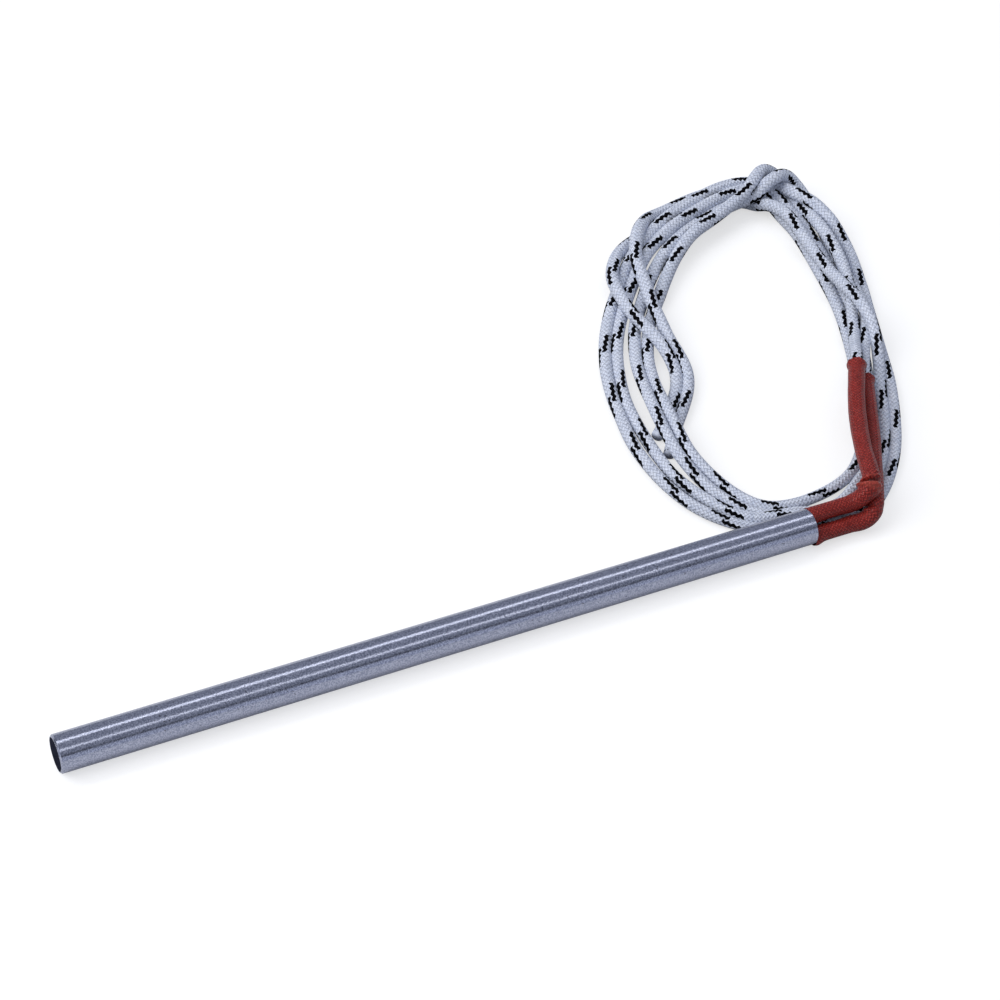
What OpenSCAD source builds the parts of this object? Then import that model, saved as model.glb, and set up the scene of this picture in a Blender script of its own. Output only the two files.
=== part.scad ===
// Cartridge heater: a ground steel tube with a ceramic heating core, two braided leads
// in red sleeves, and the leads wound into a loose flat coil behind the tube.
// The tube lies along X on z = 0, blind end at -X, leads leaving at +X.

/* [Sheath] */
// Outside diameter of the steel tube
sheath_diameter = 10; // [9.6:0.1:10.8]
// Length of the steel tube
sheath_length = 214; // [180:1:240]
// Wall of the steel tube
sheath_wall = 0.6; // [0.5:0.05:0.7]
// Bevel round the blind end
end_bevel = 0.4; // [0.2:0.1:0.5]
// Broken edge at the lead end
lead_edge = 0.2; // [0.1:0.05:0.3]
// Thickness of the disc welded into the blind end
end_disc_thickness = 2; // [1.5:0.5:4]

/* [Heating core] */
// Thickness of the magnesia layer between the winding and the tube
fill_thickness = 0.28; // [0.22:0.02:0.38]
// Solid insulator between the end disc and the core
end_insulator_length = 4; // [3:0.5:8]
// Thickness of the resistance wire
wire_thickness = 0.35; // [0.25:0.05:0.35]
// Full turns of the resistance wire, a half turn is added
wire_turns = 40; // [30:1:44]
// Diameter of the two nickel terminal pins
pin_diameter = 1.2; // [1:0.1:1.2]
// How far the pins stand out of the tube
pin_stickout = 6; // [5:0.5:6]
// How deep the short pin reaches into the first core
short_pin_depth = 20; // [10:1:30]

/* [Lead end] */
// Length of the cement plug in the mouth of the tube
seal_length = 8; // [6:0.5:12]
// Thickness of the mica washer behind the plug
washer_thickness = 1.5; // [1:0.1:2]
// Diameter of the crimp barrels
crimp_diameter = 3.2; // [2.8:0.1:3.4]
// Length of the crimp barrels
crimp_length = 10; // [8.5:0.5:10]
// Diameter of the bare lead conductor
conductor_diameter = 1.6; // [1.2:0.1:1.8]

/* [Leads] */
// Outside diameter of the braided leads
lead_diameter = 3.7; // [3.2:0.1:3.7]
// Wall of the red sleeves
sleeve_wall = 0.5; // [0.4:0.05:0.5]
// How much the far end of a sleeve is opened out
sleeve_flare = 0.4; // [0:0.1:0.6]

/* [Hidden] */
$fn = 64;
fit_clearance = 0.05;
wire_gap = 0.02;
seam_gap = 0.8;
cut_over = 1;
core_count = 6;
sleeve_clearance = 0.15;
sleeve_gap = 0.2;
axis_height = sheath_diameter / 2;
sheath_bore = sheath_diameter - 2 * sheath_wall;
rigid_length = sheath_length + pin_stickout;
blind_x = -rigid_length / 2;
mouth_x = blind_x + sheath_length;
pin_end_x = mouth_x + pin_stickout;

// Stations along the inside of the tube
core_start_x = blind_x + end_disc_thickness + end_insulator_length + seam_gap;
washer_x = mouth_x - seal_length - washer_thickness;
core_end_x = washer_x - seam_gap;
core_pitch = (core_end_x - core_start_x) / core_count;
core_length = core_pitch - fit_clearance;

// The winding lies in the bore of the fill, and its straight facets stand just clear of the core
wire_steps = 12;
fill_bore = sheath_bore - 2 * fill_thickness;
wire_outer = fill_bore / 2 - wire_gap;
wire_inner = wire_outer - wire_thickness;
core_diameter = 2 * (wire_inner - wire_gap) * cos(180 / wire_steps);
wire_start_x = core_start_x - seam_gap / 2;
wire_end_x = core_end_x + seam_gap / 2;

// The sleeves slip over the leads, and the pins stand apart so that the sleeves fit side by side
sleeve_bore = lead_diameter + 2 * sleeve_clearance;
sleeve_diameter = sleeve_bore + 2 * sleeve_wall;
pin_offset = (sleeve_diameter + sleeve_gap) / 2;

// The pair of pins leans back from upright by this angle
pin_lean = 43;
pin_y = pin_offset * sin(pin_lean);
pin_rise = pin_offset * cos(pin_lean);

// Crimps and bare conductors, one straight run outside the tube
crimp_gap = 0.5;
crimp_x = mouth_x + crimp_gap;
conductor_gap = 0.2;
conductor_x = pin_end_x + conductor_gap;
bare_length = 1.5;
lead_x = crimp_x + crimp_length + bare_length;
straight_run = 13;
straight_x = mouth_x + straight_run;
dent_depth = 0.5;
dent_shares = [0.28, 0.78];

// Points measured from the mouth of the tube, moved to where the mouth is
function from_mouth(points) = [for (p = points) [p.x + mouth_x, p.y, p.z]];

// The coil: centre of the bundle and its half width, anticlockwise from the sleeves
coil_points = from_mouth([
    [24, 11, 5], [38, 23, 6], [50, 44, 6], [59, 64, 5.5], [66, 84, 5], [70, 105, 6],
    [72, 124, 7], [67, 140, 7.5], [52, 140, 7.5], [34, 133, 7], [17, 122, 7.5], [2, 106, 9],
    [-7, 86, 11], [-14, 66, 11], [-20, 46, 9], [-18, 29, 8.5], [-9, 16, 6], [6, 11, 4.5]
]);
coil_steps = 4;
layer_gap = 0.1;
layer_height = lead_diameter + layer_gap;
coil_height = 2 * layer_height + 2 * layer_gap;

// The leads sink into the second layer at this wall across the coil
wall_point = [mouth_x + 60, 72];
wall_heading = 61;
wall_along = [cos(wall_heading), sin(wall_heading)];
wall_across = [sin(wall_heading), -cos(wall_heading)];
notch_length = norm(wall_point - [mouth_x, 0]);
notch_width = 3 * sleeve_diameter;
wall_lift = 0.15;
wall_z = layer_height + wall_lift + lead_diameter / 2;
wall_gap = 0.02;

// A point on the wall, "side" along it and "before" it along the lead
function wall_route(side, before) = [
    wall_point.x + side * wall_across.x - before * wall_along.x,
    wall_point.y + side * wall_across.y - before * wall_along.y,
    wall_z
];

// Routes of the sleeves, from the end of the straight run
bend_a = from_mouth([
    [15.5, 1.5, 7.8], [17.5, 1.5, 9], [19.2, 2, 10], [20.9, 3.4, 10.9],
    [22, 5.2, 11.4], [23.2, 8.4, 11.6], [25.3, 14, 11.5], [29.5, 23.5, 11.3],
    [33, 30.3, 11.3], [36.6, 36.6, 11.4], [41.3, 44.1, 11.6], [45.3, 50.3, 11.2]
]);
bend_b = from_mouth([
    [15.4, -2.3, 3.3], [17.4, -2.4, 3.9], [19.2, -1.8, 4.6], [20.8, -0.4, 5.3],
    [22.2, 1.6, 5.9], [23.7, 4.2, 6.4], [26, 8, 6.5], [29.9, 15.1, 6.5],
    [36.1, 26.1, 6.5], [39.6, 32.9, 6.5], [43, 39.5, 6.6], [46.8, 46.9, 6.8]
]);

// Routes of the leads past the sleeves, as far as the wall
wall_side_a = -1.4;
wall_side_b = 2.6;
wall_run = 6;
tail_a = concat(from_mouth([[50.3, 58.6, 8.2]]),
    [wall_route(wall_side_a, wall_run), wall_route(wall_side_a, wall_gap)]);
tail_b = concat(from_mouth([[51.5, 54.5, 6.2]]),
    [wall_route(wall_side_b, wall_run), wall_route(wall_side_b, wall_gap)]);

// Side of a lead: +1 is the upper one at the back, -1 the lower one in front
function pin_place(side, x) = [x, side * pin_y, axis_height + side * pin_rise];

// Unit vector, and the direction of a route at one of its points
function unit(v) = v / norm(v);
function along(route, i) =
    unit(route[min(i + 1, len(route) - 1)] - route[max(i - 1, 0)]);

// A ring of corners round a route's point
function ring(route, i, radius, sides) =
    let (ahead = along(route, i))
    let (across = unit(cross(ahead, [0, 0, 1])))
    let (over = cross(across, ahead))
    [for (k = [0 : sides - 1])
        let (angle = 360 * (k + 0.5) / sides)
        route[i] + radius * (cos(angle) * across + sin(angle) * over)];

// Triangles between two rings whose first corners are at a and b
function band(a, b, sides) =
    [for (k = [0 : sides - 1])
        let (next = (k + 1) % sides)
        each [[a + k, a + next, b + next], [a + k, b + next, b + k]]];

// A solid cord along a route
module cord(route, diameter, sides = 8) {
    last = len(route) - 1;
    points = [for (i = [0 : last]) each ring(route, i, diameter / 2, sides)];
    faces = [
        [for (k = [sides - 1 : -1 : 0]) k],
        for (i = [0 : last - 1]) each band(i * sides, (i + 1) * sides, sides),
        [for (k = [0 : sides - 1]) last * sides + k]
    ];
    polyhedron(points, faces);
}

// A hollow sleeve along a route, opened out by flare at its far end
module hose(route, diameter, bore, flare, sides = 8) {
    last = len(route) - 1;
    inner = (last + 1) * sides;
    points = concat(
        [for (i = [0 : last]) each ring(route, i, diameter / 2 + (i == last ? flare : 0), sides)],
        [for (i = [0 : last]) each ring(route, i, bore / 2 + (i == last ? flare : 0), sides)]
    );
    faces = concat(
        [for (i = [0 : last - 1]) each band(i * sides, (i + 1) * sides, sides)],
        [for (i = [0 : last - 1], t = band(inner + i * sides, inner + (i + 1) * sides, sides))
            [t[0], t[2], t[1]]],
        band(inner, 0, sides),
        band(last * sides, inner + last * sides, sides)
    );
    polyhedron(points, faces);
}

// A plain rod along X from a place
module rod(place, diameter, length) {
    translate(place) rotate([0, 90, 0]) cylinder(d = diameter, h = length);
}

// A round plug on the tube axis, bored for the two pins
module bored_plug(x, diameter, length) {
    difference() {
        rod([x, 0, axis_height], diameter, length);
        for (side = [-1, 1])
            rod(pin_place(side, x - cut_over), pin_diameter + 2 * fit_clearance, length + 2 * cut_over);
    }
}

module sheath() {
    color("lightsteelblue")
    translate([blind_x, 0, axis_height]) rotate([0, 90, 0])
    rotate_extrude()
    polygon([
        [sheath_bore / 2, 0], [sheath_diameter / 2 - end_bevel, 0], [sheath_diameter / 2, end_bevel],
        [sheath_diameter / 2, sheath_length - lead_edge],
        [sheath_diameter / 2 - lead_edge, sheath_length], [sheath_bore / 2, sheath_length]
    ]);
}

module end_disc() {
    color("slategray") rod([blind_x, 0, axis_height], sheath_bore, end_disc_thickness);
}

module end_insulator() {
    color("ivory")
    rod([blind_x + end_disc_thickness, 0, axis_height], core_diameter, end_insulator_length);
}

module core(number) {
    color("ivory")
    bored_plug(core_start_x + (number - 1) * core_pitch, core_diameter, core_length);
}

// One wire of square section: out from the long pin, round the core, in to the short pin
module resistance_wire() {
    count = round((wire_turns + 0.5) * wire_steps);
    pin_side = pin_offset + pin_diameter / 2 + wire_gap;
    start = -90 - pin_lean;
    half = wire_thickness / 2;
    stations = [for (i = [0 : count])
        let (share = (min(max(i, 1), count - 1) - 1) / (count - 2))
        let (inner = i == 0 || i == count ? pin_side : wire_inner)
        [wire_start_x + (wire_end_x - wire_start_x) * share, start + 360 * i / wire_steps,
            inner, inner + wire_thickness]];
    last = len(stations) - 1;
    points = [for (s = stations)
        each [for (corner = [[-half, s[2]], [half, s[2]], [half, s[3]], [-half, s[3]]])
            [s[0] + corner.x, corner.y * cos(s[1]), axis_height + corner.y * sin(s[1])]]];
    faces = concat(
        [[0, 1, 2, 3]],
        [for (i = [0 : last - 1]) each band((i + 1) * 4, i * 4, 4)],
        [[last * 4 + 3, last * 4 + 2, last * 4 + 1, last * 4]]
    );
    color("goldenrod") polyhedron(points, faces);
}

module magnesia_fill() {
    fill_x = core_start_x - seam_gap;
    color("white")
    difference() {
        rod([fill_x, 0, axis_height], sheath_bore, washer_x - fill_x);
        rod([fill_x - cut_over, 0, axis_height], fill_bore, washer_x - fill_x + 2 * cut_over);
    }
}

module mica_washer() {
    color("khaki") bored_plug(washer_x, sheath_bore, washer_thickness);
}

module end_seal() {
    color("wheat") bored_plug(mouth_x - seal_length, sheath_bore, seal_length);
}

module pin_a() {
    color("silver")
    rod(pin_place(1, core_end_x - short_pin_depth), pin_diameter, pin_end_x - core_end_x + short_pin_depth);
}

module pin_b() {
    color("silver")
    rod(pin_place(-1, wire_start_x - wire_thickness / 2), pin_diameter,
        pin_end_x - wire_start_x + wire_thickness / 2);
}

// A barrel bored for the pin at one end and the conductor at the other, with two dents
module crimp(side) {
    color("gainsboro")
    difference() {
        rod(pin_place(side, crimp_x), crimp_diameter, crimp_length);
        rod(pin_place(side, crimp_x - cut_over),
            pin_diameter + 2 * fit_clearance, crimp_length + 2 * cut_over);
        rod(pin_place(side, conductor_x - conductor_gap / 2),
            conductor_diameter + 2 * fit_clearance, crimp_length);
        for (share = dent_shares)
            translate(pin_place(side, crimp_x + share * crimp_length)
                + [0, 0, crimp_diameter / 2 + pin_diameter / 2 - dent_depth])
            rotate([90, 0, 0]) cylinder(d = pin_diameter, h = crimp_diameter + cut_over, center = true);
    }
}

module conductor(side) {
    color("peru") rod(pin_place(side, conductor_x), conductor_diameter, lead_x - conductor_x);
}

module sleeve(side, bend) {
    color("firebrick")
    hose(concat([pin_place(side, mouth_x), pin_place(side, lead_x), pin_place(side, straight_x)], bend),
        sleeve_diameter, sleeve_bore, sleeve_flare);
}

module lead(side, bend, tail) {
    color("gainsboro")
    cord(concat([pin_place(side, lead_x), pin_place(side, straight_x)], bend, tail), lead_diameter);
}

// Point on the closed curve through the coil's points, at share t after point i
function coil_curve(i, t) =
    let (n = len(coil_points))
    let (a = coil_points[(i + n - 1) % n], b = coil_points[i])
    let (c = coil_points[(i + 1) % n], d = coil_points[(i + 2) % n])
    b + ((c - a) * t + (2 * a - 5 * b + 4 * c - d) * t * t + (3 * b - a - 3 * c + d) * t * t * t) / 2;

// One edge of the coil seen from above: side is +1 outside and -1 inside
function coil_edge(side) =
    let (spans = len(coil_points))
    let (path = [for (i = [0 : spans - 1], k = [0 : coil_steps - 1]) coil_curve(i, k / coil_steps)])
    let (n = len(path))
    [for (i = [0 : n - 1])
        let (chord = path[(i + 1) % n] - path[(i + n - 1) % n])
        let (ahead = unit([chord.x, chord.y]))
        [path[i].x + side * path[i].z * ahead.y, path[i].y - side * path[i].z * ahead.x]];

// The wound bundle: two layers, one layer where the sleeves lie across it
module lead_coil() {
    color("gainsboro")
    difference() {
        linear_extrude(coil_height)
        difference() {
            polygon(coil_edge(1));
            polygon(coil_edge(-1));
        }
        translate([wall_point.x, wall_point.y, layer_height])
        rotate([0, 0, wall_heading])
        translate([-notch_length, -notch_width / 2, 0])
        cube([notch_length, notch_width, coil_height]);
    }
}

sheath();
end_disc();
end_insulator();
core(1);  // core_1
core(2);  // core_2
core(3);  // core_3
core(4);  // core_4
core(5);  // core_5
core(6);  // core_6
resistance_wire();
magnesia_fill();
mica_washer();
end_seal();
pin_a();
pin_b();
crimp(1);  // crimp_a
crimp(-1);  // crimp_b
conductor(1);  // conductor_a
conductor(-1);  // conductor_b
sleeve(1, bend_a);  // sleeve_a
sleeve(-1, bend_b);  // sleeve_b
lead(1, bend_a, tail_a);  // lead_a
lead(-1, bend_b, tail_b);  // lead_b
lead_coil();
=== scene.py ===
"""Looks of the cartridge heater: ground tube, red sleeves and two braided leads wound in a loose coil."""
import math

import bpy
import numpy as np
from mathutils import Matrix, Vector


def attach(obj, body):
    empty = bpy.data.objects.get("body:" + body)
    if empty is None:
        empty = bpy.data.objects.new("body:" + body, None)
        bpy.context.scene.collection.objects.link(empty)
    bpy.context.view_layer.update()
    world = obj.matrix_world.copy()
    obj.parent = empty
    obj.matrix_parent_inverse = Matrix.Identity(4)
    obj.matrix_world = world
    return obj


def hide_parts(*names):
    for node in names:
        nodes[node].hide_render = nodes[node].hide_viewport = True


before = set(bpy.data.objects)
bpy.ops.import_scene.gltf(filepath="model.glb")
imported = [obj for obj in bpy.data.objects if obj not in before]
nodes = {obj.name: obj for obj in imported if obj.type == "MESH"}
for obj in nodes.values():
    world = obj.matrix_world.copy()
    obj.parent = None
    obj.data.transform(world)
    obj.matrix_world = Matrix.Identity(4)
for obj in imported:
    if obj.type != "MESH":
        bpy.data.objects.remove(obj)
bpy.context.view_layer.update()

MM = 0.001

# Sizes of the part, in millimetres
MOUTH_X = 104.0
TUBE_RADIUS = 5.0
LEAD_DIAMETER = 3.7
SLEEVE_RADIUS = 2.5
SLEEVE_BORE = 2.0
LEAD_START_X = 116.0
STRAIGHT_X = 117.0
PIN_A = (1.773, 6.902)
PIN_B = (-1.773, 3.098)

# Routes past the straight run, from the part's source, in metres
BEND_A = [
    (0.1195, 0.0015, 0.0078), (0.1215, 0.0015, 0.0090), (0.1232, 0.0020, 0.0100), (0.1249, 0.0034, 0.0109),
    (0.1260, 0.0052, 0.0114), (0.1272, 0.0084, 0.0116), (0.1293, 0.0140, 0.0115), (0.1335, 0.0235, 0.0113),
    (0.1370, 0.0303, 0.0113), (0.1406, 0.0366, 0.0114), (0.1453, 0.0441, 0.0116), (0.1493, 0.0503, 0.0112)]
BEND_B = [
    (0.1194, -0.0023, 0.0033), (0.1214, -0.0024, 0.0039),
    (0.1232, -0.0018, 0.0046), (0.1248, -0.0004, 0.0053),
    (0.1262, 0.0016, 0.0059), (0.1277, 0.0042, 0.0064), (0.1300, 0.0080, 0.0065), (0.1339, 0.0151, 0.0065),
    (0.1401, 0.0261, 0.0065), (0.1436, 0.0329, 0.0065), (0.1470, 0.0395, 0.0066), (0.1508, 0.0469, 0.0068)]
TAIL_A = [(0.1543, 0.0586, 0.0082), (0.1599, 0.0674, 0.0058), (0.1628, 0.0727, 0.0058)]
TAIL_B = [(0.1555, 0.0545, 0.0062), (0.1634, 0.0655, 0.0058), (0.1663, 0.0707, 0.0058)]

# Middle of the wound bundle from above, in millimetres, anticlockwise from under the sleeves
COIL = np.array([
    (128, 11), (142, 23), (154, 44), (163, 64), (170, 84), (174, 105), (176, 124), (171, 140), (156, 140),
    (138, 133), (121, 122), (106, 106), (97, 86), (90, 66), (84, 46), (86, 29), (95, 16), (110, 11)], float)
COIL_STEP = 0.02
CURVE_PARTS = 24

# Lay of each lead: place along the bundle, in its points, then millimetres outward, then height
FLOOR = 1.85
LAY_A = [
    # first turn: up the right side, under and over the others at the corner, then inside on the left
    (3.85, -1.2, 5.8), (4.25, -0.2, 5.6), (4.7, 1.0, 5.5), (5.2, 1.7, 5.0), (5.7, 1.6, 4.0), (6.1, 2.0, 2.6),
    (6.45, 3.4, 1.9), (6.72, 4.9, 2.6), (6.9, 4.9, 4.8), (7.0, 3.4, 7.3), (7.11, 0.9, 9.1), (7.28, -2.0, 9.6),
    (7.55, -4.8, 9.4), (7.85, -6.7, 8.4), (8.2, -7.2, 7.2),
    (8.7, -7.0, 6.2), (9.36, -5.7, 5.6), (9.9, -6.6, 4.4),
    (10.4, -7.3, 3.4), (10.85, -7.3, 2.6), (11.4, -5.2, 2.0), (11.92, -2.9, FLOOR), (12.3, -2.0, 2.2),
    (12.72, -1.9, 3.2), (13.32, -3.1, 5.0), (13.84, -4.4, 5.4), (14.48, -4.0, 4.6), (15.08, -4.0, 2.8),
    (15.7, -2.4, FLOOR), (16.22, 0.0, FLOOR), (16.82, -0.2, FLOOR), (17.2, -1.6, FLOOR), (17.7, -4.0, FLOOR),
    # second turn: under the sleeves, then up to the outside at the top
    (18.1, -4.8, FLOOR), (18.7, -5.0, FLOOR), (19.4, -5.1, FLOOR), (20.0, -5.1, FLOOR), (20.7, -5.0, FLOOR),
    (21.4, -4.9, FLOOR), (22.1, -5.0, FLOOR), (22.8, -5.1, FLOOR), (23.4, -4.9, FLOOR), (24.0, -4.5, 2.0),
    (24.45, -4.3, 2.9), (24.8, -4.1, 4.2), (25.15, -3.9, 5.2), (25.55, -2.8, 5.6), (26.16, -1.6, 5.6),
    (26.7, -1.5, 5.6), (27.3, -0.4, 5.6), (28.1, 1.4, 5.0), (28.7, 1.5, 3.6), (29.2, 3.2, 2.3),
    (29.8, 6.3, FLOOR), (30.6, 7.4, FLOOR), (31.14, 7.2, FLOOR), (31.6, 5.2, FLOOR), (32.1, 3.6, FLOOR),
    (32.66, 3.8, FLOOR), (33.2, 4.0, FLOOR), (33.7, 4.8, FLOOR), (34.1, 6.0, 2.4), (34.6, 6.5, 3.9),
    (35.0, 7.3, 3.4), (35.4, 6.7, FLOOR), (35.75, 4.6, FLOOR),
    # third turn: over the leads that have just left their sleeves, under the top, and round the bundle
    (36.15, 2.2, FLOOR), (36.6, 1.4, FLOOR), (37.1, 1.3, FLOOR), (37.6, 1.3, FLOOR), (38.0, 1.5, 2.1),
    (38.35, 1.8, 3.1), (38.65, 1.6, 4.9), (38.9, 1.0, 7.1), (39.12, 0.2, 9.0), (39.36, -1.2, 9.9),
    (39.65, -2.9, 9.6), (39.98, -4.3, 8.3), (40.38, -5.3, 6.6), (40.82, -5.8, 5.7),
    (41.32, -6.4, 5.6), (41.9, -6.2, 5.5), (42.35, -6.4, 5.0),
    (42.7, -7.0, 3.6), (43.05, -6.8, 2.3), (43.5, -4.2, FLOOR), (44.0, -0.8, FLOOR), (44.6, 2.5, FLOOR),
    (45.2, 5.6, FLOOR), (45.7, 8.3, 1.9), (46.1, 9.6, 3.0), (46.5, 9.0, 4.7), (46.84, 7.3, 5.6),
    (47.18, 3.7, 5.7), (47.5, 0.6, 5.7), (47.72, -2.3, 5.6), (48.0, -6.0, 5.0), (48.26, -8.6, 3.7),
    (48.54, -9.8, 2.4), (48.82, -8.9, FLOOR), (49.12, -6.5, FLOOR), (49.56, -2.3, FLOOR), (49.78, 0.6, FLOOR)]
LAY_B = [
    # first turn: down into the right side, under and over the others at the corner, then inside on the left
    (3.7, 0.9, 5.2), (4.1, 1.0, 3.6), (4.5, 1.2, 2.3),
    (4.9, 1.9, FLOOR), (5.4, 2.6, FLOOR), (5.8, 3.4, FLOOR),
    (6.14, 4.2, 1.95), (6.41, 5.2, 2.8), (6.6, 5.0, 4.9),
    (6.7, 3.6, 7.4), (6.74, 1.1, 9.1), (6.73, -2.2, 9.6),
    (6.9, -5.2, 8.8), (7.4, -7.0, 6.7), (7.9, -5.8, 5.0),
    (8.4, -5.0, 4.8), (8.9, -4.2, 5.0), (9.4, -3.6, 4.9),
    (9.9, -3.3, 4.2), (10.5, -3.0, 3.0), (11.15, -2.2, 2.0), (11.5, -0.4, FLOOR), (11.92, 0.9, FLOOR),
    (12.3, 1.3, 2.2), (12.72, 1.3, 3.2), (13.3, 0.6, 5.0), (13.82, -0.6, 5.4), (14.38, -0.6, 4.6),
    (14.94, -0.5, 2.8), (15.45, 0.6, FLOOR), (15.84, 1.9, FLOOR), (16.3, 3.6, FLOOR), (16.8, 4.4, FLOOR),
    (17.2, 4.6, FLOOR), (17.45, 3.4, FLOOR), (17.72, 0.7, FLOOR),
    # second turn: under the sleeves, then up to the outside at the top
    (18.0, -1.5, FLOOR), (18.5, -1.8, FLOOR), (19.3, -1.9, FLOOR), (20.0, -1.9, FLOOR), (20.8, -1.9, FLOOR),
    (21.6, -2.0, FLOOR), (22.4, -2.0, FLOOR), (23.2, -1.8, FLOOR), (23.8, -1.6, FLOOR), (24.25, -1.4, 2.4),
    (24.6, -1.0, 3.5), (25.0, -0.3, 5.1), (25.35, 0.2, 5.6), (25.9, 2.1, 5.7), (26.36, 2.6, 5.7),
    (26.84, 3.4, 5.6), (27.32, 4.6, 5.2), (27.9, 5.3, 4.4), (28.3, 5.5, 3.4), (28.7, 5.1, 2.4),
    (29.06, 5.6, FLOOR), (29.5, 7.4, FLOOR), (29.9, 9.2, FLOOR), (30.4, 10.6, FLOOR), (30.9, 10.8, FLOOR),
    (31.4, 9.6, FLOOR), (31.82, 8.6, FLOOR), (32.3, 7.9, FLOOR), (32.8, 8.1, FLOOR), (33.26, 8.6, FLOOR),
    (33.7, 8.7, FLOOR), (34.15, 8.9, FLOOR), (34.6, 8.0, FLOOR),
    (35.1, 8.4, FLOOR), (35.5, 8.6, FLOOR), (35.8, 8.0, FLOOR),
    # third turn: outside on the right, under the top, and round the bundle
    (36.2, 5.6, FLOOR), (36.65, 4.6, FLOOR), (37.1, 4.3, FLOOR), (37.6, 4.2, FLOOR), (38.0, 4.1, FLOOR),
    (38.62, 3.8, FLOOR), (39.32, 3.6, FLOOR), (39.9, 3.9, FLOOR), (40.38, 5.2, FLOOR), (40.84, 6.8, FLOOR),
    (41.3, 6.8, 2.8), (41.62, 5.4, 4.3), (41.95, 3.6, 5.6),
    (42.3, 2.2, 5.8), (42.52, 1.9, 5.5), (42.78, 2.4, 4.5),
    (43.02, 3.0, 3.5), (43.3, 3.3, 2.5), (43.7, 4.2, FLOOR), (44.35, 6.6, FLOOR), (44.85, 8.3, 2.0),
    (45.2, 8.9, 3.1), (45.6, 7.6, 5.8), (46.05, 5.4, 7.5),
    (46.48, 2.0, 7.6), (46.82, -2.3, 6.9), (47.22, -5.2, 6.0),
    (47.62, -7.5, 5.2), (47.96, -9.3, 4.2), (48.2, -11.2, 3.3), (48.54, -12.7, 2.3), (48.82, -12.1, FLOOR),
    (49.12, -10.0, FLOOR), (49.68, -5.2, FLOOR), (50.2, 0.0, FLOOR)]

# Camera of the photograph: eye, sensor and lens in millimetres, nearest distance in metres
EYE = Vector((-208.8, -376.0, 466.9))
LOOK = Vector((0.3576, 0.6253, -0.6937))
UP = Vector((0.2544, 0.6495, 0.7166))
SENSOR = 36.0
LENS = 87.82
NEAR_CLIP = 0.01

# How the leads settle: steps, distances in millimetres, and the shares used for each push
SETTLE_SPACING = 1.2
SETTLE_STEPS = 300
SEARCH_EVERY = 20
SEARCH_DISTANCE = 7.0
SAME_LEAD_STEPS = 11
LEAD_CONTACT = 0.96
SLEEVE_CONTACT = 0.98
PUSH_SHARE = 0.22
SMOOTH_SHARE = 0.35
SHIFT_KEPT = 0.995
LEAST_GAP = 1e-6

# Thickness of a lead as a share of its diameter: thin near the tube, more with y, and slightly uneven
THIN_SHARE = 0.88
LOOSE_GAIN = 0.22
LOOSE_START_Y = 10.0
LOOSE_SPAN_Y = 120.0
UNEVEN_WAVES = ((0.015, 17.0, 0.0), (0.01, 5.3, 1.0))

# Place round a lead whose weave colours its cut ends, clear of the black yarns
CAP_TURN = 0.4

# The leads' meshes and routes, in millimetres, and how the braid is pushed together
LEAD_SIDES = 28
LEAD_STEP = 0.4
LEAD_SOFTEN = 3.5
ROUTE_SOFTEN = 1.6
FLOOR_CLEARANCE = 0.02
SHELTER_PAST_END = 3.0
OVAL_AXIS = np.array((0.43, 0.90))
BRAID_CROWD = 0.7

# The sleeves' meshes, in millimetres; a hump has a height, a place and a width
SLEEVE_SIDES = 64
SLEEVE_STEP = 0.25
SLEEVE_SOFTEN = 1.5
SLEEVE_SAMPLE = 4
CUT_BACK_A = 3.5
CUT_BACK_B = 2.0
FLARE = (0.42, 0.0, 1.5)
LIP = (-0.08, 2.6, 1.0)
SLACK_WAVES = ((0.05, 3.1, 0.0), (0.035, 1.27, 2.0))
SLACK_TURN = 0.9
OVAL_AMOUNT = 0.03
OVAL_LENGTH = 4.0
FRAY = ((0.16, 5, 0.4), (0.1, 11, 0.0))
SKIN_LEAST = 0.15
BORE_SLACK = 0.1

# The skin rolled out under the tube's mouth, and flat beside the other sleeve
ROLL_SIDE = np.array((0.0, -0.83, -0.56))
ROLL_PLACE = 1.0
ROLL_WIDTH = 1.6
ROLL_POWER = 1.5
SIDE_PRESS = (0.35, 8.0, 6.0)
TO_LOWER = np.array((0.0, -0.682, -0.731))

# The fold of a sleeve, as humps and dents along it, counted from the fold's middle
FOLD_REACH = 4.0
FOLD_LEAN = 1.1
SHOWN_BASE = 0.7
SHOWN_GAIN = 0.6
HOOD = (0.8, -0.85, 0.7)
CREASE = (-0.95, 0.3, 0.36)
NECK = (-0.45, 0.8, 0.5)
WRINKLES = ((0.5, 1.55, 0.36), (0.25, 2.6, 0.4))
BULGE = (0.4, -0.8, 1.8)
BULGE_TURN = 0.2
PRESSED_FULL = 0.7


def coil_point(place):
    """Point on the closed curve through the bundle's points."""
    count = len(COIL)
    index = int(math.floor(place))
    t = place - index
    a, b, c, d = (COIL[(index + step) % count] for step in (-1, 0, 1, 2))
    bend = (2 * a - 5 * b + 4 * c - d) * t ** 2 + (3 * b - a - 3 * c + d) * t ** 3
    return b + ((c - a) * t + bend) / 2


def coil_outward(place):
    """Unit vector out of the coil, square to the bundle."""
    step = coil_point(place + COIL_STEP) - coil_point(place - COIL_STEP)
    step = step / np.hypot(step[0], step[1])
    return np.array((step[1], -step[0]))


def wound(lay):
    """Points of a lead's turns, in millimetres, one for each place in its lay."""
    points = []
    for place, aside, height in lay:
        flat = coil_point(place) + aside * coil_outward(place)
        points.append((flat[0], flat[1], height))
    return points


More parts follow.
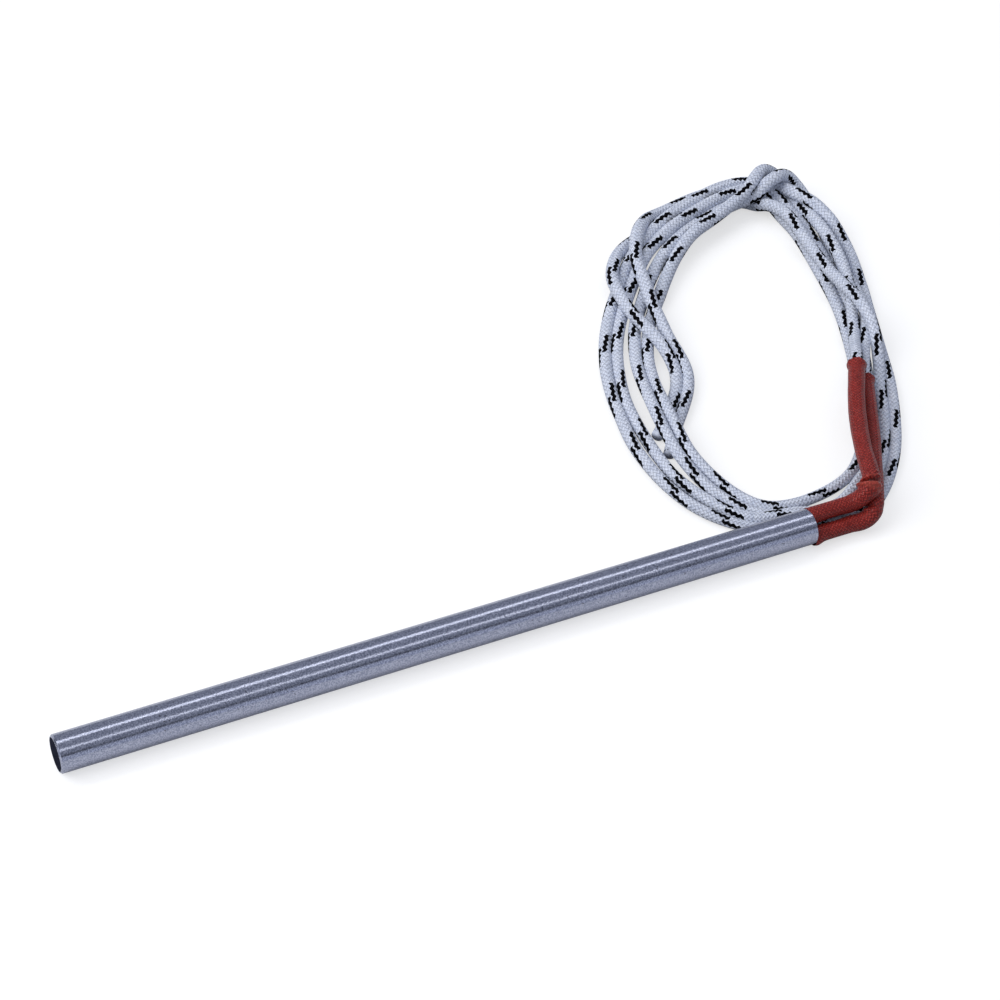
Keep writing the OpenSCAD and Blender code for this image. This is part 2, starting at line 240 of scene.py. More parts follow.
def smooth_route(points, spacing, soften):
    """One smooth curve through points, with even steps and rounded by a moving average."""
    points = np.array(points, float)
    fine = []
    last = len(points) - 1
    for index in range(last):
        a = points[max(index - 1, 0)]
        b = points[index]
        c = points[index + 1]
        d = points[min(index + 2, last)]
        reach = np.linalg.norm(c - b)
        before = max(np.linalg.norm(b - a), LEAST_GAP)
        after = max(np.linalg.norm(d - c), LEAST_GAP)
        start = ((c - b) / reach * before + (b - a) / before * reach) / (reach + before)
        end = ((d - c) / after * reach + (c - b) / reach * after) / (reach + after)
        for t in np.linspace(0, 1, CURVE_PARTS, endpoint=False):
            square = t * t
            cube = square * t
            place = (2 * cube - 3 * square + 1) * b + (3 * square - 2 * cube) * c
            place = place + reach * ((cube - 2 * square + t) * start + (cube - square) * end)
            fine.append(place)
    fine.append(points[last])
    route = even_steps(np.array(fine), spacing)
    wide = int(round(soften / spacing))
    if wide:
        window = np.hanning(2 * wide + 3)[1:-1]
        window = window / window.sum()
        ahead = np.vstack([2 * route[0] - route[wide:0:-1], route, 2 * route[-1] - route[-2:-wide - 2:-1]])
        route = np.stack([np.convolve(ahead[:, axis], window, "valid") for axis in range(3)], axis=1)
        route = even_steps(route, spacing)
    return route


def even_steps(line, spacing):
    """The same line with points an even distance apart."""
    steps = np.linalg.norm(np.diff(line, axis=0), axis=1)
    travel = np.concatenate([[0], np.cumsum(steps)])
    count = max(int(round(travel[-1] / spacing)), 2)
    marks = np.linspace(0, travel[-1], count + 1)
    return np.stack([np.interp(marks, travel, line[:, axis]) for axis in range(3)], axis=1)


def route_frames(route):
    """Directions along and across a route, turned as little as possible from point to point."""
    ahead = np.gradient(route, axis=0)
    ahead = ahead / np.linalg.norm(ahead, axis=1)[:, None]
    across = np.cross(ahead[0], (0, 0, 1.0))
    across = across / np.linalg.norm(across)
    rows = []
    for direction in ahead:
        across = across - direction * (across @ direction)
        across = across / np.linalg.norm(across)
        rows.append(across)
    sides = np.array(rows)
    return ahead, sides, np.cross(ahead, sides)


def travel_along(route):
    """Distance travelled at each point of a route."""
    steps = np.linalg.norm(np.diff(route, axis=0), axis=1)
    return np.concatenate([[0], np.cumsum(steps)])


def mesh_object(name, points, faces, uvs=None):
    """A smooth mesh piece from points in millimetres; uvs holds one pair for each corner of each face."""
    mesh = bpy.data.meshes.new(name)
    mesh.from_pydata([tuple(point) for point in np.asarray(points) * MM], [], faces)
    if uvs is not None:
        layer = mesh.uv_layers.new(name="lay")
        layer.data.foreach_set("uv", np.asarray(uvs, float).ravel())
    mesh.validate()
    mesh.polygons.foreach_set("use_smooth", [True] * len(mesh.polygons))
    mesh.update()
    piece = bpy.data.objects.new(name, mesh)
    bpy.context.scene.collection.objects.link(piece)
    return piece


def ring_grid(rings, sides, travel, close_start, close_end):
    """Faces and corner places of a tube whose rings follow each other, each of the same count of points."""
    faces = []
    uvs = []
    for i in range(rings - 1):
        for k in range(sides):
            n = (k + 1) % sides
            faces.append((i * sides + k, i * sides + n, (i + 1) * sides + n, (i + 1) * sides + k))
            low = k / sides
            high = (k + 1) / sides
            uvs += [(travel[i], low), (travel[i], high), (travel[i + 1], high), (travel[i + 1], low)]
    if close_start:
        faces.append(tuple(range(sides - 1, -1, -1)))
        uvs += [(travel[0], CAP_TURN)] * sides
    if close_end:
        base = (rings - 1) * sides
        faces.append(tuple(range(base, base + sides)))
        uvs += [(travel[-1], CAP_TURN)] * sides
    return faces, uvs


def settle(lines, held, thick, sleeves):
    """Lines of both leads, pushed apart until none runs into another, a sleeve, the tube or the floor."""
    aim = np.vstack(lines)
    sizes = np.concatenate(thick)
    still = np.concatenate(held)
    lead = np.repeat(np.arange(len(lines)), [len(line) for line in lines])
    order = np.concatenate([np.arange(len(line)) for line in lines])
    shift = np.zeros_like(aim)
    walls = np.vstack(sleeves)
    for step in range(SETTLE_STEPS):
        spot = aim + shift
        if step % SEARCH_EVERY == 0:
            square = (spot ** 2).sum(axis=1)
            apart = square[:, None] + square[None, :] - 2 * spot @ spot.T
            near = np.triu(apart < SEARCH_DISTANCE ** 2, 1)
            beside = np.abs(order[:, None] - order[None, :]) < SAME_LEAD_STEPS
            near &= ~((lead[:, None] == lead[None, :]) & beside)
            one, two = np.nonzero(near)
            square = (walls ** 2).sum(axis=1)
            apart = (spot ** 2).sum(axis=1)[:, None] + square[None, :] - 2 * spot @ walls.T
            free, wall = np.nonzero((apart < SEARCH_DISTANCE ** 2) & ~still[:, None])
        away = spot[one] - spot[two]
        gap = np.maximum(np.linalg.norm(away, axis=1), LEAST_GAP)
        short = np.maximum(LEAD_CONTACT * (sizes[one] + sizes[two]) - gap, 0)
        push = away * (PUSH_SHARE * short / gap)[:, None]
        np.add.at(shift, one, push)
        np.add.at(shift, two, -push)
        away = spot[free] - walls[wall]
        gap = np.maximum(np.linalg.norm(away, axis=1), LEAST_GAP)
        short = np.maximum(SLEEVE_CONTACT * (sizes[free] + SLEEVE_RADIUS) - gap, 0)
        np.add.at(shift, free, away * (PUSH_SHARE * short / gap)[:, None])
        spot = aim + shift
        high = spot[:, 2] - TUBE_RADIUS
        gap = np.maximum(np.hypot(spot[:, 1], high), LEAST_GAP)
        short = np.where(spot[:, 0] < MOUTH_X, np.maximum(TUBE_RADIUS + sizes - gap, 0), 0)
        shift[:, 1] += spot[:, 1] / gap * short
        shift[:, 2] += high / gap * short
        shift[:, 2] = np.maximum(shift[:, 2], sizes - aim[:, 2])
        shift[still] = 0
        begin = 0
        for line in lines:
            part = shift[begin:begin + len(line)]
            part[1:-1] += SMOOTH_SHARE * ((part[:-2] + part[2:]) / 2 - part[1:-1])
            begin += len(line)
        shift *= SHIFT_KEPT
    spot = aim + shift
    settled = []
    begin = 0
    for line in lines:
        settled.append(spot[begin:begin + len(line)])
        begin += len(line)
    return settled


def waves(travel, rows):
    """Sum of waves along a route: each row has a height, a length and a start."""
    return sum(height * np.sin(travel / length + start) for height, length, start in rows)


def hump(at, shape):
    """A rounded hump, or a dent where its height is below zero, with a place and a width."""
    height, place, width = shape
    return height * np.exp(-((at - place) / width) ** 2)


def facing(turn, across, over, side):
    """How far each point round each ring of a tube faces one side, from -1 to 1."""
    return np.cos(turn)[None, :] * (across @ side)[:, None] + np.sin(turn)[None, :] * (over @ side)[:, None]


def lead_radius(route):
    """Radius of a lead at each point: thinner near the tube and thicker where it lies loosely."""
    loose = np.clip((route[:, 1] - LOOSE_START_Y) / LOOSE_SPAN_Y, 0, 1)
    uneven = waves(travel_along(route), UNEVEN_WAVES)
    return LEAD_DIAMETER / 2 * (THIN_SHARE + LOOSE_GAIN * loose + uneven)


def tube_points(route, radii, sides):
    """Points of the rings of a tube: radii has one row for each ring and one column for each side."""
    _, across, over = route_frames(route)
    turn = 2 * np.pi * np.arange(sides) / sides
    spread = np.cos(turn)[None, :, None] * across[:, None, :] + np.sin(turn)[None, :, None] * over[:, None, :]
    return (route[:, None, :] + radii[:, :, None] * spread).reshape(-1, 3)


def node_material(name):
    """A new material with its principled shader and a helper that adds linked nodes."""
    material = bpy.data.materials.new(name)
    material.use_nodes = True
    tree = material.node_tree
    shader = tree.nodes["Principled BSDF"]

    def add(kind, settings=None, **inputs):
        node = tree.nodes.new(kind)
        for key, value in (settings or {}).items():
            setattr(node, key, value)
        for key, value in inputs.items():
            socket = node.inputs[int(key[1:])] if key[0] == "i" and key[1:].isdigit() else node.inputs[key]
            if isinstance(value, bpy.types.NodeSocket):
                tree.links.new(value, socket)
            else:
                socket.default_value = value
        return node

    def math_node(operation, first, second=0.0, third=0.0):
        return add("ShaderNodeMath", {"operation": operation}, i0=first, i1=second, i2=third).outputs[0]

    def link(source, target):
        tree.links.new(source, shader.inputs[target])

    return material, shader, add, math_node, link


RAMP_LOW = 0.3
RAMP_HIGH = 0.7


def ramp(add, factor, stops):
    """A colour ramp node's colour for a factor."""
    node = add("ShaderNodeValToRGB", None, Fac=factor)
    band = node.color_ramp.elements
    while len(band) < len(stops):
        band.new(0.5)
    for element, (place, colour) in zip(band, stops):
        element.position = place
        element.color = (*colour, 1)
    return node.outputs["Color"]


def mix_colour(add, factor, first, second, blend="MIX"):
    """A colour mixed from two, by a factor."""
    node = add("ShaderNodeMix", {"data_type": "RGBA", "blend_type": blend})
    for index, value in ((0, factor), (6, first), (7, second)):
        if isinstance(value, bpy.types.NodeSocket):
            node.id_data.links.new(value, node.inputs[index])
        else:
            node.inputs[index].default_value = value if index == 0 else (*value, 1)
    return node.outputs[2]


def noise(add, where, scale, detail):
    """The value of a noise texture."""
    return add("ShaderNodeTexNoise", None, Vector=where, Scale=scale, Detail=detail).outputs["Fac"]


def surface_bump(add, strength, distance, height):
    """The normal of a surface with a fine relief."""
    return add("ShaderNodeBump", None, Strength=strength, Distance=distance, Height=height).outputs[0]


def lay_place(add):
    """Distance along a cord or sleeve and place round it, as its mesh holds them."""
    place = add("ShaderNodeSeparateXYZ", None, Vector=add("ShaderNodeUVMap", {"uv_map": "lay"}).outputs[0])
    return place.outputs[0], place.outputs[1]


def weave(calc, along, around, yarns, pitch_mm):
    """Height of the uppermost yarn, 0 to 1, where two sets of yarns cross over and under each other."""
    advance = calc("MULTIPLY", along, yarns / pitch_mm)
    turn = calc("MULTIPLY", around, yarns)
    left = calc("ADD", advance, turn)
    right = calc("SUBTRACT", advance, turn)
    left_crown = calc("ABSOLUTE", calc("SINE", calc("MULTIPLY", left, math.pi)))
    right_crown = calc("ABSOLUTE", calc("SINE", calc("MULTIPLY", right, math.pi)))
    both = calc("ADD", calc("FLOOR", left), calc("FLOOR", right))
    over = calc("GREATER_THAN", calc("FLOORED_MODULO", both, 2.0), 0.5)
    under = calc("SUBTRACT", 1.0, over)
    return calc("ADD", calc("MULTIPLY", left_crown, over), calc("MULTIPLY", right_crown, under))


def tracer(calc, along, around):
    """Where the braid is black: toothed dashes in pairs, each pair half a turn on from the last."""
    dash_step_mm = 5.4
    dash_length_mm = 8.0
    dash_turn = 0.2
    pair_turn = 0.5
    dash_lean = 0.009
    dash_half = 0.054
    tooth_mm = 2.3
    tooth_turn = 0.1
    number = calc("FLOOR", calc("DIVIDE", along, dash_step_mm))
    saw = calc("MULTIPLY", calc("PINGPONG", calc("DIVIDE", along, tooth_mm), 0.5), tooth_turn)
    dashes = []
    for earlier in (0.0, 1.0):
        own = calc("SUBTRACT", number, earlier)
        since = calc("SUBTRACT", along, calc("MULTIPLY", own, dash_step_mm))
        pair = calc("FLOOR", calc("MULTIPLY", own, 0.5))
        centre = calc("MULTIPLY", calc("FLOORED_MODULO", own, 2.0), dash_turn)
        centre = calc("ADD", centre, calc("MULTIPLY", pair, pair_turn))
        centre = calc("ADD", centre, calc("MULTIPLY", since, dash_lean))
        apart = calc("SUBTRACT", calc("ADD", around, saw), centre)
        near = calc("ABSOLUTE", calc("SUBTRACT", apart, calc("ROUND", apart)))
        dash = calc("MULTIPLY", calc("LESS_THAN", near, dash_half), calc("LESS_THAN", since, dash_length_mm))
        dashes.append(dash)
    return calc("MAXIMUM", dashes[0], dashes[1])


def glass_braid(name):
    """White glass braid, woven of flat yarns, with black tracer yarns stepping round it."""
    yarns = 8.0
    pitch_mm = 14.0
    soiled_white = (0.64, 0.69, 0.82)
    clean_white = (0.84, 0.88, 0.98)
    deep_ink = (0.0005, 0.0005, 0.0008)
    worn_ink = (0.004, 0.004, 0.006)
    gap_shade = 0.66
    crown_gain = 0.34
    fleck_shade = 0.85
    fleck_gain = 0.3
    fleck_height = 0.35
    least_rough = 0.7
    rough_gain = 0.2
    material, shader, add, calc, link = node_material(name)
    along, around = lay_place(add)
    woven = weave(calc, along, around, yarns, pitch_mm)
    black = tracer(calc, along, around)
    # colour: cool white with painted shade between the yarns, slightly soiled in patches
    spot = add("ShaderNodeTexCoord").outputs["Object"]
    patch = noise(add, spot, scale=700.0, detail=4.0)
    fleck = noise(add, spot, scale=2600.0, detail=2.0)
    pale = ramp(add, patch, [(RAMP_LOW, soiled_white), (RAMP_HIGH, clean_white)])
    # painted shade: darker in the gaps between yarns, full white on their crowns
    shade = calc("MULTIPLY_ADD", woven, crown_gain, gap_shade)
    shade = calc("MULTIPLY", shade, calc("MULTIPLY_ADD", fleck, fleck_gain, fleck_shade))
    grey = add("ShaderNodeCombineColor", None, Red=shade, Green=shade, Blue=shade).outputs[0]
    white = mix_colour(add, 1.0, pale, grey, "MULTIPLY")
    ink = ramp(add, fleck, [(0.35, deep_ink), (0.75, worn_ink)])
    link(mix_colour(add, black, white, ink), "Base Color")
    link(calc("MULTIPLY_ADD", patch, rough_gain, least_rough), "Roughness")
    height = calc("ADD", woven, calc("MULTIPLY", fleck, fleck_height))
    link(surface_bump(add, 0.8, 0.0003, height), "Normal")
    shader.inputs["Specular IOR Level"].default_value = 0.05
    return material


def red_sleeving(name):
    """Brick red silicone over glass braid: fine chevrons under a half-gloss skin, with painted glints on the
    yarn crowns, painted shade in the hollows and creases, and painted highlights on wrinkles.
    """
    yarns = 14.0
    pitch_mm = 16.0
    dark_red = (0.145, 0.0065, 0.0045)
    light_red = (0.235, 0.012, 0.008)
    glint_red = (0.62, 0.078, 0.06)
    pit_shade_red = (0.075, 0.010, 0.008)
    crease_shade_red = (0.022, 0.002, 0.0015)
    wrinkle_highlight_red = (0.60, 0.13, 0.09)
    glint_fleck = 0.48
    glint_share = 0.7
    pit_shade_share = 0.6
    crease_shade_share = 0.85
    highlight_start = 0.35
    highlight_share = 0.45
    least_rough = 0.22
    rough_gain = 0.2
    fleck_height = 0.3
    material, shader, add, calc, link = node_material(name)
    along, around = lay_place(add)
    woven = weave(calc, along, around, yarns, pitch_mm)
    spot = add("ShaderNodeTexCoord").outputs["Object"]
    patch = noise(add, spot, scale=260.0, detail=5.0)
    fleck = noise(add, spot, scale=3200.0, detail=2.0)
    body = ramp(add, patch, [(RAMP_LOW, dark_red), (RAMP_HIGH, light_red)])
    # painted glints: bright specks on the crowns of the yarns
    glint = calc("MULTIPLY", calc("POWER", woven, 3.0), calc("GREATER_THAN", fleck, glint_fleck))
    colour = mix_colour(add, calc("MULTIPLY", glint, glint_share), body, glint_red)
    # painted shade in the hollows between the yarns
    pit = calc("MULTIPLY", calc("SUBTRACT", 1.0, woven), pit_shade_share)
    colour = mix_colour(add, pit, colour, pit_shade_red)
    # painted shade where a fold presses the skin in, painted highlight where it is stretched over a wrinkle
    fold = add("ShaderNodeAttribute", {"attribute_name": "fold"}).outputs["Fac"]
    pressed = calc("MULTIPLY", calc("MAXIMUM", fold, 0.0), crease_shade_share)
    colour = mix_colour(add, pressed, colour, crease_shade_red)
    stretched = calc("MAXIMUM", calc("SUBTRACT", calc("MULTIPLY", fold, -1.0), highlight_start), 0.0)
    colour = mix_colour(add, calc("MULTIPLY", stretched, highlight_share), colour, wrinkle_highlight_red)
    link(colour, "Base Color")
    link(calc("MULTIPLY_ADD", patch, rough_gain, least_rough), "Roughness")
    height = calc("ADD", woven, calc("MULTIPLY", fleck, fleck_height))
    link(surface_bump(add, 0.55, 0.0002, height), "Normal")
    shader.inputs["Specular IOR Level"].default_value = 0.22
    return material


def ground_steel(name):
    """Centreless ground stainless steel: fine grain round the tube, faint specks and smudges."""
    dark_steel = (0.29, 0.31, 0.40)
    light_steel = (0.49, 0.51, 0.62)
    stain_colour = (0.12, 0.12, 0.15)
    grain_stretch = (4200.0, 120.0, 120.0)
    stain_pit = 0.7
    stain_smudge = 0.52
    stain_share = 0.7
    least_rough = 0.08
    grain_rough = 0.1
    smudge_rough = 0.08
    speck_height = 0.6
    material, shader, add, calc, link = node_material(name)
    spot = add("ShaderNodeTexCoord").outputs["Object"]
    stretched = add("ShaderNodeMapping", None, Vector=spot, Scale=grain_stretch).outputs[0]
    grain = noise(add, stretched, scale=1.0, detail=3.0)
    speck = noise(add, spot, scale=2600.0, detail=2.0)
    smudge = noise(add, spot, scale=45.0, detail=5.0)
    pit = noise(add, spot, scale=1200.0, detail=1.0)
    base = ramp(add, speck, [(0.4, dark_steel), (0.6, light_steel)])
    stain = calc("MULTIPLY", calc("GREATER_THAN", pit, stain_pit), calc("GREATER_THAN", smudge, stain_smudge))
    stain = calc("MULTIPLY", stain, stain_share)
    link(mix_colour(add, stain, base, stain_colour), "Base Color")
    rough = calc("MULTIPLY_ADD", grain, grain_rough, least_rough)
    link(calc("ADD", rough, calc("MULTIPLY", smudge, smudge_rough)), "Roughness")
    height = calc("ADD", grain, calc("MULTIPLY", speck, speck_height))
    link(surface_bump(add, 0.3, 0.00012, height), "Normal")
    shader.inputs["Metallic"].default_value = 1.0
    return material


def plain_solid(name, dark, light, scale, roughness, metallic=0.0, bump=0.1):
    """A material with a mottled colour, uneven gloss and a fine surface."""
    fine_scale = scale * 9
    rough_spread = 0.2
    material, shader, add, calc, link = node_material(name)
    spot = add("ShaderNodeTexCoord").outputs["Object"]
    patch = noise(add, spot, scale, detail=5.0)
    fine = noise(add, spot, fine_scale, detail=3.0)
    link(ramp(add, patch, [(RAMP_LOW, dark), (RAMP_HIGH, light)]), "Base Color")
    link(calc("MULTIPLY_ADD", fine, rough_spread, roughness - rough_spread / 2), "Roughness")
    link(surface_bump(add, bump, 0.0002, fine), "Normal")
    shader.inputs["Metallic"].default_value = metallic
    return material


def set_material(piece, material):
    """Gives a piece one material in place of any it has."""
    piece.data.materials.clear()
    piece.data.materials.append(material)


def straight_start(pin):
    """The straight run between the crimp and the first bend, in millimetres."""
    return [(LEAD_START_X, *pin), (STRAIGHT_X, *pin)]


def in_mm(points):
    """Points in metres turned to millimetres."""
    return [tuple(value / MM for value in point) for point in points]


BRAID = glass_braid("glass_braid")
SLEEVING = red_sleeving("red_sleeve")
STEEL = ground_steel("ground_steel")


def lead_line(pin, bend, tail, lay):
    """Middle line of a lead before it settles."""
    points = straight_start(pin) + in_mm(bend) + in_mm(tail) + wound(lay)
    return smooth_route(points, SETTLE_SPACING, LEAD_SOFTEN)


def sleeve_line(pin, bend, cut_back):
    """Middle line of a sleeve, which ends a little before its last listed point."""
    points = [(MOUTH_X, *pin)] + straight_start(pin) + in_mm(bend)
    line = smooth_route(points, SLEEVE_STEP, SLEEVE_SOFTEN)
    return line[:-int(cut_back / SLEEVE_STEP)]


def braid_travel(route):
    """Distance along a lead as the braid counts it, which is more where the oval coil turns at its ends."""
    lengthwise = np.abs(route_frames(route)[0][:, :2] @ OVAL_AXIS)
    steps = np.diff(travel_along(route)) * (1 + BRAID_CROWD * (1 - lengthwise[1:]))
    return np.concatenate([[0], np.cumsum(steps)])


def make_lead(name, route, nodes_replaced):
    """A braided lead along its whole route."""
    travel = braid_travel(route)
    radii = np.repeat(lead_radius(route)[:, None], LEAD_SIDES, axis=1)
    points = tube_points(route, radii, LEAD_SIDES)
    points[:, 2] = np.maximum(points[:, 2], FLOOR_CLEARANCE)
    faces, uvs = ring_grid(len(route), LEAD_SIDES, travel, True, True)
    piece = mesh_object(name, points, faces, uvs)
    set_material(piece, BRAID)
    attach(piece, "root")
    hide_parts(*nodes_replaced)
    return piece


def kinked(route, travel, turn, middle, strength):
    """How far each point of a sleeve's skin is pressed in or pushed out where the sleeve folds."""
    _, across, over = route_frames(route)
    at = int(np.argmin(np.abs(travel - middle)))
    reach = int(FOLD_REACH / SLEEVE_STEP)
    inward = route[at - reach] + route[at + reach] - 2 * route[at]
    inward = inward / np.linalg.norm(inward)
    upper = inward + np.array((0.0, 0.0, 1.0))
    upper = upper / np.linalg.norm(upper)
    inside = facing(turn, across, over, inward)
    shown = np.clip(SHOWN_BASE + SHOWN_GAIN * facing(turn, across, over, upper), 0, 1)
    lean = (travel - middle)[:, None] + FOLD_LEAN * inside
    wrinkles = hump(lean, WRINKLES[0]) * shown ** 2 + hump(lean, WRINKLES[1]) * shown ** 2
    bulge = hump(lean, BULGE) * np.clip(BULGE_TURN - inside, 0, 1)
    moved = hump(lean, HOOD) * shown + hump(lean, CREASE) * shown + hump(lean, NECK) * shown
    return strength * (moved + wrinkles + bulge)


def make_sleeve(name, route, node, fold_middle, fold_strength, roll, beside):
    """A red sleeve: a hollow tube with a fold, opened out and frayed at its far end."""
    travel = travel_along(route)
    to_end = travel[-1] - travel
    turn = 2 * np.pi * np.arange(SLEEVE_SIDES) / SLEEVE_SIDES
    ahead, across, over = route_frames(route)
    flare = hump(to_end, FLARE)
    skin = SLEEVE_RADIUS + flare + hump(to_end, LIP)
    wave = waves(travel, SLACK_WAVES)[:, None] * np.cos(turn + SLACK_TURN)[None, :]
    wave = wave + OVAL_AMOUNT * np.cos(2 * turn[None, :] + travel[:, None] / OVAL_LENGTH)
    moved = kinked(route, travel, turn, fold_middle, fold_strength)
    outer = np.maximum(skin[:, None] + wave + moved, SLEEVE_BORE - SKIN_LEAST)
    # under the mouth of the tube the skin rolls out a little, to the front and down
    rolled = hump(travel[:, None], (roll, ROLL_PLACE, ROLL_WIDTH))
    outer = outer + rolled * np.clip(facing(turn, across, over, ROLL_SIDE), 0, 1) ** ROLL_POWER
    # on the straight run the skin lies flatter on the side of the other sleeve
    outer = outer - hump(travel, SIDE_PRESS)[:, None] * np.clip(facing(turn, across, over, beside), 0, 1)
    inner = np.minimum(outer - SKIN_LEAST, (SLEEVE_BORE + BORE_SLACK + flare)[:, None])
    outside = tube_points(route, outer, SLEEVE_SIDES).reshape(len(route), SLEEVE_SIDES, 3)
    inside = tube_points(route, inner, SLEEVE_SIDES).reshape(len(route), SLEEVE_SIDES, 3)
    frayed = sum(height * np.sin(turn * count + start) for height, count, start in FRAY)
    for rows in (outside, inside):
        rows[-1] += frayed[:, None] * ahead[-1][None, :]
    points = np.vstack([outside.reshape(-1, 3), inside[::-1].reshape(-1, 3)])
    distance = np.concatenate([travel, 2 * travel[-1] - travel[::-1]])
    faces, uvs = ring_grid(2 * len(route), SLEEVE_SIDES, distance, False, False)
    piece = mesh_object(name, points, faces, uvs)
    # depth of the fold on the outer skin, which the sleeve's material turns into painted shade in creases and
    # painted highlights on wrinkles
    pressed = np.clip(-moved / PRESSED_FULL, -1, 1)
    fold = piece.data.attributes.new("fold", "FLOAT", "POINT")
    fold.data.foreach_set("value", np.concatenate([pressed.ravel(), np.zeros(pressed.size)]))
    set_material(piece, SLEEVING)
    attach(piece, "root")
    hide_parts(node)
    return piece


# The leads, one tube each from the crimp through its sleeve and round the coil, and the sleeves
SLEEVE_LINE_A = sleeve_line(PIN_A, BEND_A, CUT_BACK_A)
SLEEVE_LINE_B = sleeve_line(PIN_B, BEND_B, CUT_BACK_B)
first_lines = [lead_line(PIN_A, BEND_A, TAIL_A, LAY_A), lead_line(PIN_B, BEND_B, TAIL_B, LAY_B)]
inside_sleeve = []
for line, sleeve in zip(first_lines, (SLEEVE_LINE_A, SLEEVE_LINE_B)):
    sheltered = travel_along(sleeve)[-1] - (LEAD_START_X - MOUTH_X) + SHELTER_PAST_END
    inside_sleeve.append(travel_along(line) < sheltered)
settled_lines = settle(first_lines, inside_sleeve, [lead_radius(line) for line in first_lines],
                       [SLEEVE_LINE_A[::SLEEVE_SAMPLE], SLEEVE_LINE_B[::SLEEVE_SAMPLE]])
route_a = smooth_route(settled_lines[0], LEAD_STEP, ROUTE_SOFTEN)
route_b = smooth_route(settled_lines[1], LEAD_STEP, ROUTE_SOFTEN)
lead_a = make_lead("braided_lead_a", route_a, ["lead_a", "lead_coil"])
lead_b = make_lead("braided_lead_b", route_b, ["lead_b"])
sleeve_a = make_sleeve("red_sleeve_a", SLEEVE_LINE_A, "sleeve_a", fold_middle=21.4, fold_strength=1.4,
                       roll=0.0, beside=TO_LOWER)
sleeve_b = make_sleeve("red_sleeve_b", SLEEVE_LINE_B, "sleeve_b", fold_middle=20.5, fold_strength=0.25,
                       roll=0.6, beside=-TO_LOWER)

# Materials of the solids that stay
CERAMIC = plain_solid("core_ceramic", (0.72, 0.70, 0.62), (0.86, 0.84, 0.77), 300.0, 0.8)
FILL = plain_solid("magnesia", (0.78, 0.78, 0.74), (0.9, 0.9, 0.87), 700.0, 0.9)
MICA = plain_solid("mica", (0.5, 0.42, 0.28), (0.68, 0.6, 0.44), 500.0, 0.5)
CEMENT = plain_solid("cement", (0.55, 0.5, 0.42), (0.78, 0.73, 0.64), 420.0, 0.85, bump=0.4)
NICKEL = plain_solid("nickel", (0.5, 0.49, 0.45), (0.66, 0.65, 0.6), 600.0, 0.3, 1.0)
ALLOY = plain_solid("resistance_alloy", (0.36, 0.33, 0.28), (0.52, 0.48, 0.41), 900.0, 0.4, 1.0)
CRIMP = plain_solid("crimp_metal", (0.55, 0.55, 0.56), (0.74, 0.74, 0.74), 500.0, 0.3, 1.0)
COPPER = plain_solid("conductor_metal", (0.55, 0.48, 0.4), (0.72, 0.66, 0.58), 800.0, 0.35, 1.0)
# painted shade: steel of the end disc painted far darker than the sheath's, with a dimmed reflection, for a
# face turned away from the light
SHADED_END_STEEL = plain_solid("end_steel", (0.026, 0.028, 0.04), (0.044, 0.048, 0.064), 500.0, 0.45, 1.0, 0.25)
SHADED_END_TINT = (0.25, 0.26, 0.32, 1)
SHADED_END_STEEL.node_tree.nodes["Principled BSDF"].inputs["Specular Tint"].default_value = SHADED_END_TINT
for node, material in (
        ("sheath", STEEL), ("end_disc", SHADED_END_STEEL), ("end_insulator", CERAMIC), ("resistance_wire", ALLOY),
        ("magnesia_fill", FILL), ("mica_washer", MICA), ("end_seal", CEMENT),
        ("pin_a", NICKEL), ("pin_b", NICKEL),
        ("crimp_a", CRIMP), ("crimp_b", CRIMP), ("conductor_a", COPPER), ("conductor_b", COPPER)):
    set_material(nodes[node], material)
CORE_COUNT = 6
for number in range(1, CORE_COUNT + 1):
    set_material(nodes[f"core_{number}"], CERAMIC)

# Floor: white to the camera, with the object's soft shadow
FLOOR_SIZE = 8.0
FLOOR_DROP = 0.0002
FLOOR_GLOW = 0.62
FLOOR_BOUNCE = 0.3
FLOOR_MIRRORED = 0.8
FLOOR_SEEN = 0.5
floor_material, floor_shader, add, calc, link = node_material("pale_floor")
floor_shader.inputs["Roughness"].default_value = 0.9
floor_shader.inputs["Specular IOR Level"].default_value = 0.0
rays = add("ShaderNodeLightPath")
by_camera = rays.outputs["Is Camera Ray"]
mirrored = calc("MAXIMUM", rays.outputs["Is Glossy Ray"], rays.outputs["Is Transmission Ray"])
pale = calc("MULTIPLY_ADD", by_camera, FLOOR_SEEN - FLOOR_BOUNCE, FLOOR_BOUNCE)
pale = calc("MULTIPLY_ADD", mirrored, FLOOR_MIRRORED - FLOOR_BOUNCE, pale)
link(add("ShaderNodeCombineColor", None, Red=pale, Green=pale, Blue=pale).outputs[0], "Base Color")
floor_shader.inputs["Emission Color"].default_value = (1, 1, 1, 1)
link(calc("MULTIPLY", by_camera, FLOOR_GLOW), "Emission Strength")
bpy.ops.mesh.primitive_plane_add(size=FLOOR_SIZE, location=(0, 0, -FLOOR_DROP))
floor = bpy.context.object
floor.name = "floor"
set_material(floor, floor_material)

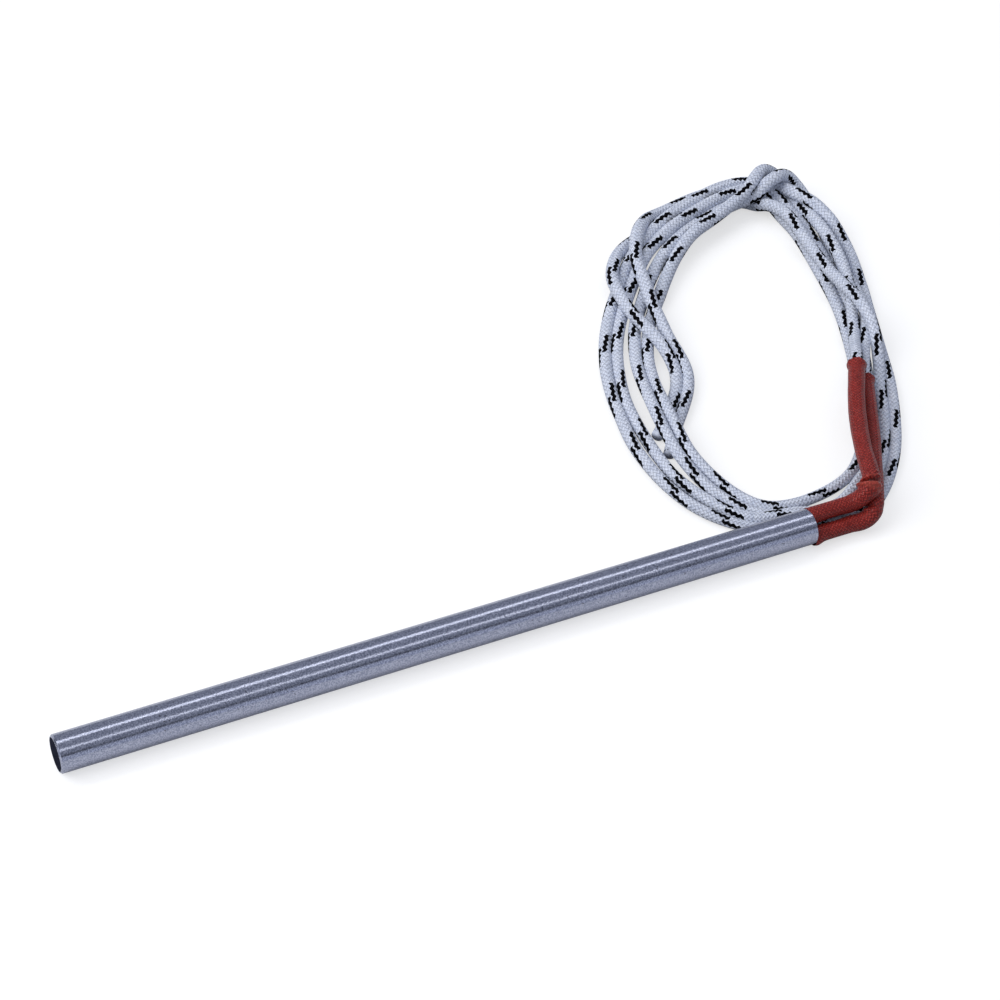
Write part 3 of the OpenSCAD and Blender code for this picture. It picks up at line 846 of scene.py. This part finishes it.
# Light: two long strips above the tube, a soft box from the left, and a room with a dim band
BACK_LIFT = 0.65
ROOM_BANDS = [(0.0, 0.6), (0.37, 0.6), (0.43, 0.08), (0.5, 0.08), (0.58, 0.34), (1.0, 0.38)]
ROOM_TINT = (0.92, 0.98, 1.15)
LAMPS = [
    # name, place, target and size in metres, then watts
    ("back_strip", (0.38, 0.44, 0.9), (0.38, 0.0, 0.0), (1.4, 0.20), 1.5),
    ("front_strip", (0.38, -0.44, 0.9), (0.38, 0.0, 0.0), (1.4, 0.16), 0.8),
    ("left_box", (-0.95, 0.25, 0.95), (0.05, 0.05, 0.0), (1.1, 1.1), 13.0)]
scene = bpy.context.scene
scene.view_settings.view_transform = "Standard"
world = bpy.data.worlds.new("pale_room")
world.use_nodes = True
room = world.node_tree
direction = room.nodes.new("ShaderNodeTexCoord")
upward = room.nodes.new("ShaderNodeSeparateXYZ")
room.links.new(direction.outputs["Generated"], upward.inputs[0])
shades = room.nodes.new("ShaderNodeValToRGB")
while len(shades.color_ramp.elements) < len(ROOM_BANDS):
    shades.color_ramp.elements.new(0.5)
for element, (height, level) in zip(shades.color_ramp.elements, ROOM_BANDS):
    element.position = height
    element.color = (*(level * part for part in ROOM_TINT), 1)
behind = room.nodes.new("ShaderNodeMath")
behind.operation = "MAXIMUM"
behind.inputs[1].default_value = 0.0
room.links.new(upward.outputs[1], behind.inputs[0])
band = room.nodes.new("ShaderNodeMath")
band.operation = "MULTIPLY_ADD"
band.inputs[1].default_value = BACK_LIFT
room.links.new(behind.outputs[0], band.inputs[0])
room.links.new(upward.outputs[2], band.inputs[2])
room.links.new(band.outputs[0], shades.inputs[0])
room.links.new(shades.outputs[0], room.nodes["Background"].inputs["Color"])
scene.world = world


def soft_lamp(name, place, target, size, energy):
    """A rectangular area lamp that looks at a target, in metres and watts."""
    data = bpy.data.lights.new(name, "AREA")
    data.shape = "RECTANGLE"
    data.size, data.size_y = size
    data.energy = energy
    lamp = bpy.data.objects.new(name, data)
    lamp.location = place
    lamp.rotation_euler = (Vector(target) - Vector(place)).to_track_quat("-Z", "Y").to_euler()
    scene.collection.objects.link(lamp)


for row in LAMPS:
    soft_lamp(*row)

# Camera
camera_data = bpy.data.cameras.new("camera")
camera_data.sensor_width = SENSOR
camera_data.lens = LENS
camera_data.clip_start = NEAR_CLIP
camera = bpy.data.objects.new("camera", camera_data)
look = LOOK.normalized()
right = look.cross(UP).normalized()
top = right.cross(look)
turn = Matrix((right, top, -look)).transposed()
camera.matrix_world = Matrix.Translation(EYE * MM) @ turn.to_4x4()
scene.collection.objects.link(camera)
scene.camera = camera
